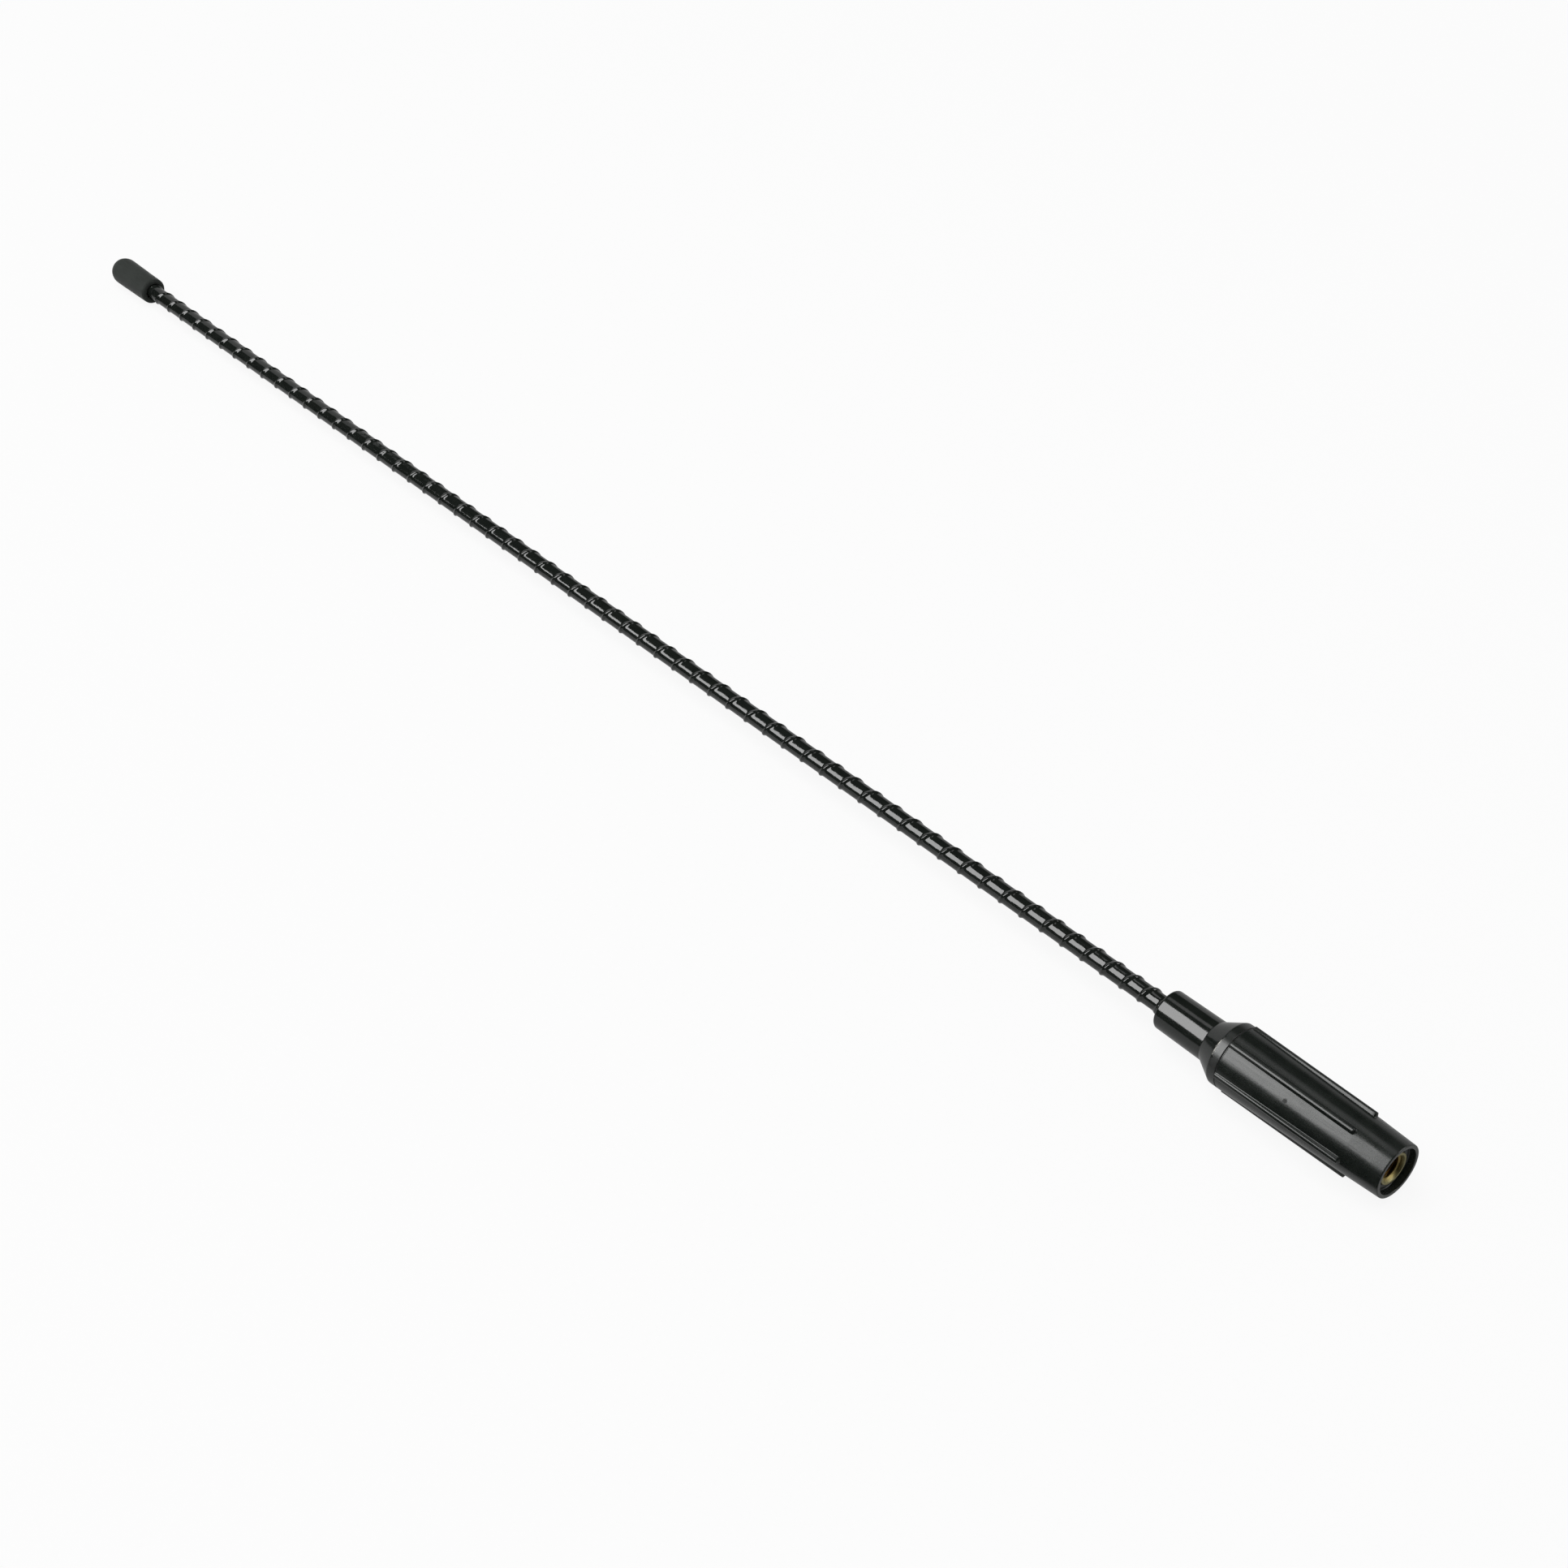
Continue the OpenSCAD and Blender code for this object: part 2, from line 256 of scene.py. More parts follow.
# %% [markdown]
# The faces follow the same order. Most join two rows of one turn. The joints join a turn's last row to the
# first row of the turn above. At each end the open turn meets the plain ring, and there one face has to take
# in the step where the turn starts or stops.

# %% Faces of a wound surface


def wound_faces(across, first):
    """Faces over wound_points with so many rows across, whose points are numbered from first.

    Also the two faces with more corners, and the first point's number on the foot's and the top's ring."""
    count = columns * wound_turns
    foot_at = first + (count + 1) * across
    top_at = foot_at + columns
    k, s = np.arange(count)[:, None], np.arange(across - 1)[None, :]
    at = first + k * across + s
    strip = np.stack([at, at + across, at + across + 1, at + 1], -1).reshape(-1, 4)
    k = np.arange(count - columns)
    low = first + k * across + across - 1
    high = first + (k + columns) * across
    joints = np.stack([low, low + across, high + across, high], -1)
    j = np.arange(columns)
    next_j = (j + 1) % columns
    rim = np.stack([foot_at + j, foot_at + next_j, first + (j + 1) * across, first + j * across], -1)
    last = first + (count - columns + j) * across + across - 1
    lid = np.stack([last, last + across, top_at + next_j, top_at + j], -1)
    start_edge = first + np.arange(across)
    end_edge = first + count * across + np.arange(across)
    foot_fan = [rim[-1][0], rim[-1][1], *start_edge, rim[-1][2], rim[-1][3]]
    top_fan = [*lid[0], *end_edge[::-1]]
    return np.concatenate([strip, joints, rim[:-1], lid[1:]]), [foot_fan, top_fan], foot_at, top_at


print("joints:", columns * (wound_turns - 1), "faces from turn to turn")

# %% [markdown]
# The jacket has an outer skin with the ridge and an inner one with the channel that the wire lies in. Two
# rings of faces close the wall between them at the foot and at the top. The inner skin's faces look the other
# way.

# %% The jacket
jacket_radius, jacket_lift, ridge_half_width = 1.75, 0.263, 0.74
bore_radius, bore_lift, channel_half_width = 1.505, 0.38, 0.5
outer_rows = np.array([0, 0.12, 0.22, 0.31, 0.36, 0.395, 0.425, 0.455, 0.48, 0.5, 0.52, 0.545, 0.575, 0.605,
                       0.64, 0.69, 0.78, 0.88])
inner_rows = np.array([0, 0.25, 0.42, 0.47, 0.5, 0.53, 0.58, 0.75])

outer = wound_points(jacket_radius, jacket_lift, ridge_half_width, outer_rows)
inner = wound_points(bore_radius, bore_lift, channel_half_width, inner_rows)
outer_faces, outer_fans, outer_foot, outer_top = wound_faces(len(outer_rows), 0)
inner_faces, inner_fans, inner_foot, inner_top = wound_faces(len(inner_rows), len(outer))
j = np.arange(columns)
next_j = (j + 1) % columns
foot_ring = np.stack([outer_foot + next_j, outer_foot + j, inner_foot + j, inner_foot + next_j], -1)
top_ring = np.stack([outer_top + j, outer_top + next_j, inner_top + next_j, inner_top + j], -1)
jacket = make_piece(
    "shrunk_jacket",
    np.concatenate([outer, inner]),
    np.concatenate([outer_faces, inner_faces[:, ::-1], foot_ring, top_ring]),
    outer_fans + [fan[::-1] for fan in inner_fans])
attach(jacket, "root")
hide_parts("mast_jacket")

# %% [markdown]
# The base is two mouldings that meet in a dark seam. The upper one has a narrow collar round the foot of the
# mast, a cone and a plain band, and a hidden spigot that goes down into the sleeve. It is round all over, so
# turning its outline is the shortest way. The heights come from the mouth, as on a drawing of the whole base.

# %% Collar, cone and band
seam, cone_foot, cone_top, collar_top = 34.4, 36.15, 39.85, 50.65
band_radius, collar_root, collar_rim = 6.1, 3.975, 3.85
mast_bore, neck_bore, barrel_bore, spigot_radius = 2.033, 2.62, 3.17, 4.4
neck_top, web_top = 44.6, 6.0
collar_outline = rounded([
    (spigot_radius, web_top, 0.15),
    (spigot_radius, seam, 0),
    (band_radius, seam, 0.17),
    (band_radius, cone_foot, 0.14),
    (collar_root, cone_top, 0.12),
    (collar_rim, collar_top, 0.48),
    (mast_bore, collar_top, 0.06),
    (mast_bore, neck_top, 0),
    (neck_bore, neck_top, 0),
    (neck_bore, seam, 0),
    (barrel_bore, seam, 0),
    (barrel_bore, web_top, 0),
])
collar = lathe("collar_and_cone", collar_outline, np.arange(0, 360, 2.5))
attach(collar, "root")
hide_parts("base_collar")

# %% [markdown]
# The lower moulding is the sleeve that a hand screws on: a slim drafted tube with six lengthwise ribs, a
# plain end and a thin rim round the recess in its mouth. Ribs laid on as bars would show a sharp corner at
# the root. So the whole sleeve is one surface: its radius is the tube's plus the ribs' height, which rises
# and falls in smooth ramps, as a mould's rounded edges leave it.

# %% Height of the ribs
plain_end, rib_count, rib_angle = 7.6, 6, 33
rib_top, rib_root, rib_corner = 0.8, 1.3, 0.3
rise_at_seam, rise_at_end, rib_crown = 0.42, 0.78, 0.2
mouth_radius, waist_radius = 5.225, 5.525


def tube_radius(height):
    """The sleeve's own radius: two straight drafts, from the mouth to the plain end and on to the seam."""
    return np.interp(height, [0, plain_end, seam], [mouth_radius, waist_radius, band_radius])


def soft_ramp(x, softness):
    """x held between 0 and 1, with both corners rounded over that softness.

    (q(x + h) - q(x - h) - q(x - 1 + h) + q(x - 1 - h)) / (2 h), where q(y) = max(y, 0)^2 / 2 and
    2 h = softness."""
    h = softness / 2
    steps = ((1, x + h), (-1, x - h), (-1, x - 1 + h), (1, x - 1 - h))
    return sum(sign * np.maximum(y, 0) ** 2 / 2 for sign, y in steps) / softness


def rib_height(angle, height):
    """Height of the ribs over the tube: the rise at that height, times a ramp down the flanks.

    off_top is the distance to the flat top, whose lower corners are rounded: hypot(beside, below) - corner.
    The top is crowned: 1 - crown * (arc / half the top's width)^2."""
    spacing = 360 / rib_count
    off_middle = (angle - rib_angle + spacing / 2) % spacing - spacing / 2
    arc = np.abs(np.radians(off_middle)) * (tube_radius(height) + 0.3)
    flank = (rib_root - rib_top) / 2
    beside = np.maximum(arc - rib_top / 2 + rib_corner, 0)
    below = np.maximum(plain_end + flank + rib_corner - height, 0)
    off_top = np.hypot(beside, below) - rib_corner
    crown = 1 - rib_crown * np.clip(arc / (rib_top / 2), 0, 1) ** 2
    upper_end = soft_ramp((seam - height) / 0.12, 0.5)
    rise = rise_at_end + (rise_at_seam - rise_at_end) * (height - plain_end) / (seam - plain_end)
    return rise * soft_ramp(1 - off_top / flank, 0.6) * crown * upper_end


print("a rib stands", round(float(rib_height(rib_angle, 20.0)), 3), "mm proud at half its length")

# %% [markdown]
# The grid's columns crowd on the ribs and its rows crowd where the ribs end, so their soft edges come out
# smooth and the plain parts stay light. The outline runs up the outside, over the seam, and down the hidden
# inside.

# %% The ribbed sleeve
recess_radius, recess_floor, spigot_bore = 4.475, 1.4, 4.42
on_rib = np.arange(-7.2, 7.21, 0.3)
between_ribs = np.arange(10, 51, 3.0)
sleeve_angles = np.concatenate(
    [rib_angle + k * 360 / rib_count + np.concatenate([on_rib, between_ribs]) for k in range(rib_count)])
outside_heights = np.concatenate(
    [np.linspace(0.6, plain_end - 0.3, 8), np.linspace(plain_end - 0.1, plain_end + 0.5, 13),
     np.linspace(plain_end + 1, seam - 0.5, 24), np.linspace(seam - 0.4, seam - 0.25, 3)])
outside = np.stack([tube_radius(outside_heights), outside_heights], -1)
seam_curve = rounded([(band_radius, seam - 2, 0), (band_radius, seam, 0.17), (spigot_bore, seam, 0)])[1:]
mouth_curve = rounded([(recess_radius, recess_floor, 0), (recess_radius, 0, 0.12), (mouth_radius, 0, 0.2),
                       (tube_radius(2.0), 2.0, 0)])[1:-1]
inside = np.array([[spigot_bore, web_top], [barrel_bore, web_top], [barrel_bore, recess_floor],
                   [recess_radius - 0.15, recess_floor], [recess_radius - 0.04, recess_floor - 0.04],
                   [recess_radius, recess_floor - 0.15]])
sleeve_outline = np.concatenate([mouth_curve, outside, seam_curve, inside])
sleeve_radius, sleeve_height = sleeve_outline[:, 0][:, None], sleeve_outline[:, 1][:, None]
ribs = rib_height(sleeve_angles[None, :], sleeve_height) * (sleeve_radius > spigot_bore + 0.5)
sleeve_points = place(sleeve_radius + ribs, sleeve_angles[None, :], sleeve_height)
sleeve = make_piece("sleeve_with_ribs", sleeve_points, grid_quads(*sleeve_points.shape[:2]))
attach(sleeve, "root")
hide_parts("ribbed_sleeve")

# %% [markdown]
# In the mouth sits a brass ferrule with an M5 thread, by which the aerial is screwed on. A thread could be a
# profile swept up a helix and cut out. But it is a groove that climbs: its radius depends only on the height
# less the pitch times the turn. The same grid as a plain bore gives a real thread when that radius is used.

# %% The thread
face_height, thread_end = 0.85, 12.85
thread_minor, thread_major, thread_pitch = 2.1, 2.49, 0.8
run_in, run_off = 0.5, 0.8


def smooth_step(x):
    """0 below 0, 1 above 1, and 3 x^2 - 2 x^3 between."""
    x = np.clip(x, 0, 1)
    return x * x * (3 - 2 * x)


def thread_radius(angle, height):
    """Right-handed groove: minor + depth * tooth, where the tooth goes from 0 to 1 and back over one pitch.

    It is flat over a third of the pitch at the crest, and over a quarter at the root."""
    phase = (height / thread_pitch + angle / 360) % 1
    tooth = np.clip(4.8 * np.abs(phase - 0.5) - 0.75, 0, 1)
    cut = smooth_step((height - face_height) / run_in) * smooth_step((thread_end - height) / run_off)
    return thread_minor + (thread_major - thread_minor) * tooth * cut


print("the thread has", round((thread_end - face_height) / thread_pitch, 1), "turns")

# %% [markdown]
# The ferrule's outline goes up the outside, round the socket that holds the rod, down the drilled hole and
# out over the countersink. All of it is turned, and only the rows in the bore take the thread's radius.

# %% The brass ferrule
barrel_radius, neck_radius, countersink_radius = 3.15, 2.6, 2.7
socket_floor, rod_bore = 30.6, 1.42
on_axis = 0.0005  # a radius that is welded to a point
shell = rounded([
    (countersink_radius, face_height, 0.04),
    (barrel_radius, face_height, 0.12),
    (barrel_radius, seam, 0.1),
    (neck_radius, seam, 0.05),
    (neck_radius, neck_top, 0.1),
    (rod_bore, neck_top, 0.05),
    (rod_bore, socket_floor, 0),
    (0.01, socket_floor, 0),
])[:-1]  # the last corner only shows the first one where the outline comes from
drill_tip = np.array([[on_axis, socket_floor], [on_axis, thread_end + 1.2], [thread_minor, thread_end]])
bore_heights = np.append(np.arange(thread_end, face_height + 0.6, -0.08), face_height + 0.6)
bore = np.stack([np.full(len(bore_heights), thread_minor), bore_heights], -1)
lead_in = np.array([[2.35, face_height + 0.32]])
ferrule_outline = np.concatenate([shell, drill_tip, bore, lead_in])
ferrule_angles = np.arange(0, 360, 5.0)[None, :]
ferrule_radius = np.repeat(ferrule_outline[:, :1], ferrule_angles.size, axis=1)
bore_at = len(shell) + len(drill_tip)
ferrule_radius[bore_at:bore_at + len(bore)] = thread_radius(ferrule_angles, bore_heights[:, None])
ferrule_points = place(ferrule_radius, ferrule_angles, ferrule_outline[:, 1][:, None])
ferrule = make_piece("threaded_ferrule", ferrule_points, grid_quads(*ferrule_points.shape[:2]))
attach(ferrule, "root")
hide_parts("foot_ferrule")

# %% [markdown]
# The tip wears a matt rubber cap, dipped and a little soft: its mouth is rolled in round the mast and its end
# is a dome. It is turned as well, and slow waves of a few hundredths of a millimetre keep it from looking
# machined.

# %% The rubber cap
cap_foot, cap_ball, cap_bore = 389.0, 402.675, 2.033
cap_mouth_radius, cap_radius, cap_lip = 3.15, 3.325, 0.7
blind_end = 401.5
bore_and_foot = [[0, blind_end], [cap_bore, blind_end], [cap_bore, cap_foot + 0.25],
                 [cap_bore + 0.08, cap_foot + 0.06], [cap_bore + 0.25, cap_foot]]
lip = np.radians(np.linspace(-90, 0, 8))
lip_curve = np.stack([cap_mouth_radius - cap_lip + cap_lip * np.cos(lip),
                      cap_foot + cap_lip + cap_lip * np.sin(lip)], -1)
wall_heights = np.linspace(cap_foot + 1.2, cap_ball - 0.3, 26)
wall_radius = np.interp(wall_heights, [cap_foot, cap_ball], [cap_mouth_radius, cap_radius])
wall = np.stack([wall_radius, wall_heights], -1)
dome = np.radians(np.linspace(0, 90, 18))
dome_curve = np.stack([cap_radius * np.cos(dome), cap_ball + cap_radius * np.sin(dome)], -1)
cap_outline = np.concatenate([bore_and_foot, lip_curve, wall, dome_curve])
cap_angles = np.arange(0, 360, 4.0)[None, :]
cap_turn = np.radians(cap_angles)
cap_out, cap_height = cap_outline[:, 0][:, None], cap_outline[:, 1][:, None]
soft_wave = 0.018 * np.sin(2 * cap_turn + cap_height * 0.35) + 0.012 * np.sin(3 * cap_turn - cap_height * 0.8)
on_outside = smooth_step((cap_out - 2.3) / 0.6)
cap_points = place(cap_out - np.abs(soft_wave) * on_outside, cap_angles, cap_height)
cap = make_piece("rubber_cap", cap_points, grid_quads(cap_outline.shape[0], cap_angles.size, False))
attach(cap, "root")
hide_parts("tip_cap")

# %% [markdown]
# Materials are node trees. A small helper adds a node, sets its inputs and properties by name, and links what
# is handed to it, so that each finish below reads as a list of what it is made of.

# %% A helper for materials


def add(tree, kind, links=(), **values):
    """New node of that kind. values set its inputs or properties; links are (input name, output socket)."""
    node = tree.nodes.new(kind)
    for name, value in values.items():
        title = name.replace("_", " ")
        if title in node.inputs:
            node.inputs[title].default_value = value
        else:
            setattr(node, name, value)
    for name, socket in links:
        tree.links.new(node.inputs[name], socket)
    return node


def start_material(name):
    """Empty node material, and its tree."""
    material = bpy.data.materials.new(name)
    material.use_nodes = True
    material.node_tree.nodes.clear()
    return material, material.node_tree


def show(tree, shader):
    """Makes the shader what the material shows."""
    add(tree, "ShaderNodeOutputMaterial", [("Surface", shader.outputs[0])])


print("materials can be started")

# %% [markdown]
# A pattern on Object coordinates would ignore how the piece was made. On these pieces streaks run along the
# mast and marks sit at an angle round it, so the patterns read the mast's own frame, which each mesh carries.

# %% Patterns in the mast's own frame


def own_coordinates(tree, stretch=(1, 1, 1)):
    """The attribute own_mm, stretched by the given factors along up, side and height."""
    attribute = add(tree, "ShaderNodeAttribute", attribute_name="own_mm")
    return add(tree, "ShaderNodeMapping", [("Vector", attribute.outputs["Vector"])], Scale=stretch)


def object_coordinates(tree, stretch=(1, 1, 1)):
    """The object's own metres, stretched, for what has no such attribute."""
    coordinates = add(tree, "ShaderNodeTexCoord")
    return add(tree, "ShaderNodeMapping", [("Vector", coordinates.outputs["Object"])], Scale=stretch)


def noise(tree, coordinates, scale, detail=3.0, roughness=0.55):
    """Noise in cycles per unit of the coordinates."""
    return add(tree, "ShaderNodeTexNoise", [("Vector", coordinates.outputs[0])],
               Scale=scale, Detail=detail, Roughness=roughness).outputs[0]


def math_node(tree, operation, first, second):
    """Result of an operation on two number sockets."""
    return add(tree, "ShaderNodeMath", [(0, first), (1, second)], operation=operation).outputs[0]


def length(tree, vector):
    """How long a vector socket's vector is."""
    return add(tree, "ShaderNodeVectorMath", [(0, vector)], operation="LENGTH").outputs["Value"]


def remap(tree, value, low, high, to_low, to_high):
    """Linear remap, clamped: low..high becomes to_low..to_high."""
    node = add(tree, "ShaderNodeMapRange", [("Value", value)])
    for name, number in (("From Min", low), ("From Max", high), ("To Min", to_low), ("To Max", to_high)):
        node.inputs[name].default_value = number
    return node.outputs[0]


print("patterns can be placed")

# %% [markdown]
# Colour, roughness and bump are built up in layers. Each layer has a mask that goes from 0 to 1 and says
# where it lies, so dirt or wear can be laid over a finish without changing the finish itself.

# %% Layers of a finish


def two_tones(tree, pattern, first, second, spread=0.15):
    """Colour that drifts from first to second while a noise pattern goes from 0.5 - spread to 0.5 + spread."""
    node = add(tree, "ShaderNodeMix", data_type="RGBA")
    tree.links.new(node.inputs[0], remap(tree, pattern, 0.5 - spread, 0.5 + spread, 0, 1))
    node.inputs[6].default_value = (*first, 1)
    node.inputs[7].default_value = (*second, 1)
    return node.outputs[2]


def paint_over(tree, colour, mask, paint):
    """The colour so far, with a fixed paint over it where the mask is 1."""
    node = add(tree, "ShaderNodeMix", data_type="RGBA")
    tree.links.new(node.inputs[0], mask)
    tree.links.new(node.inputs[6], colour)
    node.inputs[7].default_value = (*paint, 1)
    return node.outputs[2]


def number_over(tree, number, mask, value):
    """The number so far, with a fixed value over it where the mask is 1."""
    node = add(tree, "ShaderNodeMix", [("Factor", mask)])
    tree.links.new(node.inputs[2], number)
    node.inputs[3].default_value = value
    return node.outputs[0]


def bump(tree, height, strength, distance, before=None):
    """Bump of a height field, laid over an earlier bump where one is given."""
    node = add(tree, "ShaderNodeBump", [("Height", height)], Strength=strength, Distance=distance)
    if before is not None:
        tree.links.new(node.inputs["Normal"], before)
    return node.outputs[0]


print("layers can be laid")

# %% [markdown]
# The jacket is heat-shrunk polyolefin: deep black, smooth and glossy, with slow ripples where it drew down.
# Its black is what the photograph shows between the highlights, a trace greener than neutral.

# %% Jacket finish


def jacket_finish():
    material, tree = start_material("shrunk black tube")
    fine = noise(tree, own_coordinates(tree), 3.0)
    slow = noise(tree, own_coordinates(tree, (1, 1, 0.35)), 0.8)
    show(tree, add(tree, "ShaderNodeBsdfPrincipled", [
        ("Base Color", two_tones(tree, slow, (0.0095, 0.0115, 0.0100), (0.0130, 0.0155, 0.0135))),
        ("Roughness", remap(tree, fine, 0.3, 0.7, 0.06, 0.11)),
        ("Normal", bump(tree, slow, 0.25, 0.0002))], IOR=1.6))
    return material


jacket.data.materials.append(jacket_finish())
print("jacket finish made")

# %% [markdown]
# The base mouldings are harder. The collar is polished by the mould, the sleeve a little duller, with a fine
# grain and faint streaks along the draw of the mould, which soften its highlight. Marks belong to the object,
# so they are placed in the mast's own frame: a spot is an ellipse in angle and height with a ragged edge.

# %% Marks in the mast's own frame


def angle_and_height(tree):
    """(angle in degrees, height in mm, 0) of a point in the mast's own frame."""
    attribute = add(tree, "ShaderNodeAttribute", attribute_name="own_mm")
    parts = add(tree, "ShaderNodeSeparateXYZ", [("Vector", attribute.outputs["Vector"])])
    turn = math_node(tree, "ARCTAN2", parts.outputs[1], parts.outputs[0])
    degrees = add(tree, "ShaderNodeMath", [(0, turn)], operation="DEGREES").outputs[0]
    return add(tree, "ShaderNodeCombineXYZ", [("X", degrees), ("Y", parts.outputs[2])]).outputs[0]


def spots(tree, place_on_skin, ragged, marks):
    """Largest of the masks of some marks (angle, height, half angle, half height, strength).

    Each is full where |(place - middle) / half sizes| + ragged is under 0.6, and gone where it is over 1.2."""
    total = None
    for angle, height, half_angle, half_height, strength in marks:
        off = add(tree, "ShaderNodeVectorMath", [(0, place_on_skin)], operation="SUBTRACT")
        off.inputs[1].default_value = (angle, height, 0)
        scaled = add(tree, "ShaderNodeVectorMath", [(0, off.outputs[0])], operation="MULTIPLY")
        scaled.inputs[1].default_value = (1 / half_angle, 1 / half_height, 0)
        far = math_node(tree, "ADD", length(tree, scaled.outputs[0]), ragged)
        mask = remap(tree, far, 0.6, 1.2, strength, 0)
        total = mask if total is None else math_node(tree, "MAXIMUM", total, mask)
    return total


print("marks can be placed by angle and height")

# %% [markdown]
# One function makes both mouldings, because they share their plastic and differ in gloss and in marks. It
# lays the finish first, then wear, which is grey and dull and on the cone's edge also a painted glint, then
# dirt, which is black and duller still.

# %% Moulding finish
# Wear is painted light grey; on the cone's edge the same paint is a painted glint.
WORN_AND_GLINT_PAINT, DIRT_PAINT = (0.42, 0.41, 0.37), (0.004, 0.004, 0.004)
DULL_ROUGHNESS, WORN_ROUGHNESS, DIRT_ROUGHNESS = 0.31, 0.5, 0.8


def moulding_finish(name, index, tones, gloss, worn_and_glinting, dirty, dull):
    """Black moulding of that refractive index, tones and gloss (lowest and highest roughness), with marks."""
    material, tree = start_material(name)
    grain = noise(tree, own_coordinates(tree), 5.0, 4.0, 0.6)
    streaks = noise(tree, own_coordinates(tree, (1, 1, 0.06)), 2.2, 3.0, 0.5)
    patches = noise(tree, own_coordinates(tree), 0.35, 2.0, 0.5)
    skin = angle_and_height(tree)
    ragged = remap(tree, noise(tree, own_coordinates(tree), 3.5, 4.0, 0.7), 0.25, 0.75, -0.5, 0.5)
    wear_and_glint, dirt, band = (spots(tree, skin, ragged, marks) for marks in (worn_and_glinting, dirty, dull))

    colour = two_tones(tree, patches, *tones)
    # Wear painted light grey, which on the cone's edge is also a painted glint.
    colour = paint_over(tree, colour, wear_and_glint, WORN_AND_GLINT_PAINT)
    colour = paint_over(tree, colour, dirt, DIRT_PAINT)
    rough = remap(tree, streaks, 0.3, 0.7, *gloss)
    rough = math_node(tree, "ADD", rough, remap(tree, grain, 0.35, 0.7, -0.02, 0.04))
    rough = number_over(tree, rough, band, DULL_ROUGHNESS)
    rough = number_over(tree, rough, wear_and_glint, WORN_ROUGHNESS)
    rough = number_over(tree, rough, dirt, DIRT_ROUGHNESS)
    uneven = bump(tree, streaks, 0.07, 0.0001)
    uneven = bump(tree, grain, 0.07, 0.00004, uneven)
    uneven = bump(tree, wear_and_glint, 0.5, 0.00005, uneven)
    show(tree, add(tree, "ShaderNodeBsdfPrincipled",
                   [("Base Color", colour), ("Roughness", rough), ("Normal", uneven)], IOR=index))
    return material


print("moulding finishes can be made")

# %% [markdown]
# The collar's marks are nicks along the cone's lower edge, where it has been knocked, painted light grey;
# those that lie in the highlight on that edge are painted glints as well. There is also dirt in the seam, and
# a band that years of hands have dulled. The sleeve has a few specks and a duller rim. Each is a line of
# values: angle, height, half angle, half height and strength. A half angle of EVERYWHERE makes a ring.

# %% Marks on the collar and the sleeve
EVERYWHERE = 400
# Nicks painted light grey; those from -36 to -57 degrees lie in the highlight and are painted glints too.
nicks_and_glints = [(-36, 36.12, 6.0, 0.11, 1), (-49, 36.14, 5.0, 0.12, 1), (-57, 36.10, 1.6, 0.10, 0.7),
         (-43, 36.30, 1.2, 0.10, 0.6), (34, 36.10, 4.0, 0.10, 0.6), (118, 36.12, 6.0, 0.10, 0.6),
         (-155, 36.15, 4.0, 0.10, 0.6)]
collar_dirt = [(0, seam, EVERYWHERE, 0.15, 1), (-70, 35.3, 9.0, 0.7, 0.6)]
dull_band = [(0, 35.2, EVERYWHERE, 1.0, 1)]
sleeve_wear = [(95, 22.0, 1.2, 0.10, 0.7)]
sleeve_dirt = [(1.3, 28.29, 1.2, 0.14, 0.6), (0, seam, EVERYWHERE, 0.13, 1), (-52.0, 20.6, 3.8, 0.40, 0.6),
               (140, 15.0, 4.0, 0.4, 0.7)]
dull_rim = [(0, 1.2, EVERYWHERE, 1.4, 0.6)]
collar.data.materials.append(moulding_finish(
    "collar moulding", 1.6, ((0.0085, 0.0110, 0.0090), (0.0125, 0.0150, 0.0130)), (0.09, 0.14),
    nicks_and_glints, collar_dirt, dull_band))
sleeve.data.materials.append(moulding_finish(
    "sleeve moulding", 1.52, ((0.0080, 0.0105, 0.0088), (0.0115, 0.0145, 0.0122)), (0.21, 0.29),
    sleeve_wear, sleeve_dirt, dull_rim))
print("collar and sleeve finished, with", len(nicks_and_glints) + len(sleeve_wear), "worn marks")

# %% [markdown]
# The cap's rubber is a dull dark grey. It scatters light almost evenly, so it needs colour and a fine grain
# much more than gloss. A little sheen lightens it where the surface turns away, as rubber's fine bloom does.

# %% Rubber finish


def rubber_finish():
    material, tree = start_material("cap rubber")
    grain = noise(tree, own_coordinates(tree), 7.0, 4.0, 0.65)
    clouds = noise(tree, own_coordinates(tree, (1, 1, 0.4)), 0.5)
    show(tree, add(tree, "ShaderNodeBsdfPrincipled", [
        ("Base Color", two_tones(tree, clouds, (0.0195, 0.0230, 0.0203), (0.0255, 0.0300, 0.0265))),
        ("Roughness", remap(tree, grain, 0.3, 0.7, 0.62, 0.8)),
        ("Normal", bump(tree, grain, 0.3, 0.00005))],
        IOR=1.5, Specular_IOR_Level=0.18, Sheen_Weight=0.2, Sheen_Roughness=0.4))
    return material


cap.data.materials.append(rubber_finish())
print("rubber finish made")
